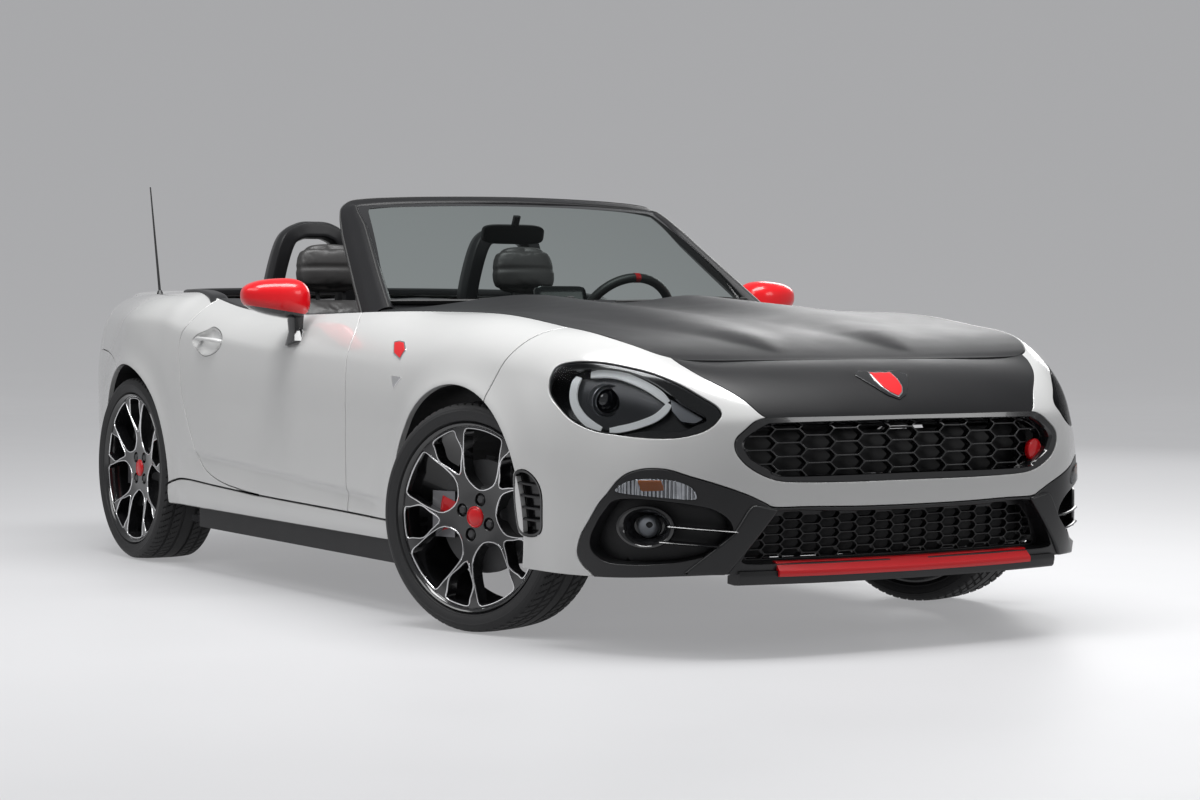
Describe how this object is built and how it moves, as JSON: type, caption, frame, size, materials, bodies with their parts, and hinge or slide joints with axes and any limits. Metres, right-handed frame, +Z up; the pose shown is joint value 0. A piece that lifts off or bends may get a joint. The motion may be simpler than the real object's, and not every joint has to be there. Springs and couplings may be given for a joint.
{
  "type": "two-seat roadster",
  "caption": "Two-seat open roadster with folded soft top, long bonnet, hinged doors, bonnet and boot lid, coupled steering and free-rolling wheels.",
  "frame": {"origin": "on the ground midway between the axles, on the car's centre line", "axes": "+Z up, the car faces -Y, its right side is -X; the longest extent is along Y"},
  "size_m": [1.996, 4.0558, 1.2792],
  "materials": {
    "body_paint": "pearl gloss",
    "matte_black_paint": "matte",
    "satin_black_plastic": "satin",
    "gloss_black_plastic": "gloss",
    "red_plastic": "gloss",
    "lamp_clear": "clear gloss",
    "lamp_red": "clear gloss",
    "glass": "clear",
    "black_leather": "satin",
    "roof_cloth": "matte",
    "tyre": "matte",
    "wheel_black": "gloss",
    "steel": "satin",
    "steel_black": "satin",
    "exhaust_steel": "polished"
  },
  "bodies": {
    "chassis": {"floor_pan": "steel_black", "front_bumper": "body_paint", "upper_grille": "gloss_black_plastic", "lower_grille": "gloss_black_plastic", "corner_vents": "satin_black_plastic", "lower_fascia": "satin_black_plastic", "headlamps": "lamp_clear", "splitter": "satin_black_plastic", "front_fenders": "body_paint", "rear_quarters": "body_paint", "side_sills": "body_paint", "side_skirts": "satin_black_plastic", "rear_bumper": "body_paint", "tail_lamps": "lamp_red", "rear_diffuser": "satin_black_plastic", "exhaust": "exhaust_steel", "windscreen_frame": "matte_black_paint", "windscreen": "glass", "cowl": "satin_black_plastic", "dashboard": "satin_black_plastic", "seats": "black_leather", "roll_hoops": "satin_black_plastic", "rear_deck": "matte_black_paint", "soft_top": "roof_cloth", "centre_console": "satin_black_plastic", "engine": "steel", "front_subframe": "steel_black", "rear_subframe": "steel_black", "wheel_arch_liners": "satin_black_plastic", "boot_tub": "satin_black_plastic", "antenna": "satin_black_plastic"},
    "door_left": {"door_left": "body_paint", "mirror_left": "red_plastic"},
    "door_right": {"door_right": "body_paint", "mirror_right": "red_plastic"},
    "bonnet": {"bonnet": "matte_black_paint"},
    "boot_lid": {"boot_lid": "matte_black_paint"},
    "steering_wheel": {"steering_wheel": "black_leather"},
    "knuckle_left": {"knuckle_left": "steel"},
    "knuckle_right": {"knuckle_right": "steel"},
    "wheel_front_left": {"wheel_front_left": "wheel_black", "tyre_front_left": "tyre"},
    "wheel_front_right": {"wheel_front_right": "wheel_black", "tyre_front_right": "tyre"},
    "wheel_rear_left": {"wheel_rear_left": "wheel_black", "tyre_rear_left": "tyre"},
    "wheel_rear_right": {"wheel_rear_right": "wheel_black", "tyre_rear_right": "tyre"}
  },
  "joints": [
    {"name": "door_left_hinge", "type": "hinge", "parent": "chassis", "child": "door_left", "pos_m": [0.857, -0.495, 0.55], "axis": [0, 0, -1], "range_deg": [0, 65]},
    {"name": "door_right_hinge", "type": "hinge", "parent": "chassis", "child": "door_right", "pos_m": [-0.857, -0.495, 0.55], "axis": [0, 0, 1], "range_deg": [0, 65]},
    {"name": "bonnet_hinge", "type": "hinge", "parent": "chassis", "child": "bonnet", "pos_m": [0, -0.43, 0.852], "axis": [-1, 0, 0], "range_deg": [0, 55]},
    {"name": "boot_lid_hinge", "type": "hinge", "parent": "chassis", "child": "boot_lid", "pos_m": [0, 1.19, 0.915], "axis": [1, 0, 0], "range_deg": [0, 80]},
    {"name": "steer_left", "type": "hinge", "parent": "chassis", "child": "knuckle_left", "pos_m": [0.728, -1.155, 0.308], "axis": [0, 0, 1], "range_deg": [-55, 15]},
    {"name": "steer_right", "type": "hinge", "parent": "chassis", "child": "knuckle_right", "pos_m": [-0.728, -1.155, 0.308], "axis": [0, 0, 1], "range_deg": [-55, 15]},
    {"name": "steering_wheel_turn", "type": "hinge", "parent": "chassis", "child": "steering_wheel", "pos_m": [0.37, -0.045, 0.8], "axis": [0, 0.9063, 0.4226], "range_deg": [-852.5, 232.5]},
    {"name": "wheel_front_left_spin", "type": "hinge", "parent": "knuckle_left", "child": "wheel_front_left", "pos_m": [0.728, -1.155, 0.308], "axis": [0.9397, 0.342, 0], "continuous": true},
    {"name": "wheel_rear_left_spin", "type": "hinge", "parent": "chassis", "child": "wheel_rear_left", "pos_m": [0.7515, 1.155, 0.308], "axis": [1, 0, 0], "continuous": true},
    {"name": "wheel_front_right_spin", "type": "hinge", "parent": "knuckle_right", "child": "wheel_front_right", "pos_m": [-0.728, -1.155, 0.308], "axis": [0.9397, 0.342, 0], "continuous": true},
    {"name": "wheel_rear_right_spin", "type": "hinge", "parent": "chassis", "child": "wheel_rear_right", "pos_m": [-0.7515, 1.155, 0.308], "axis": [1, 0, 0], "continuous": true}
  ],
  "couplings": [
    {"joint": "steer_right", "follows": "steer_left", "ratio": 1},
    {"joint": "steering_wheel_turn", "follows": "steer_left", "ratio": 15.5}
  ]
}
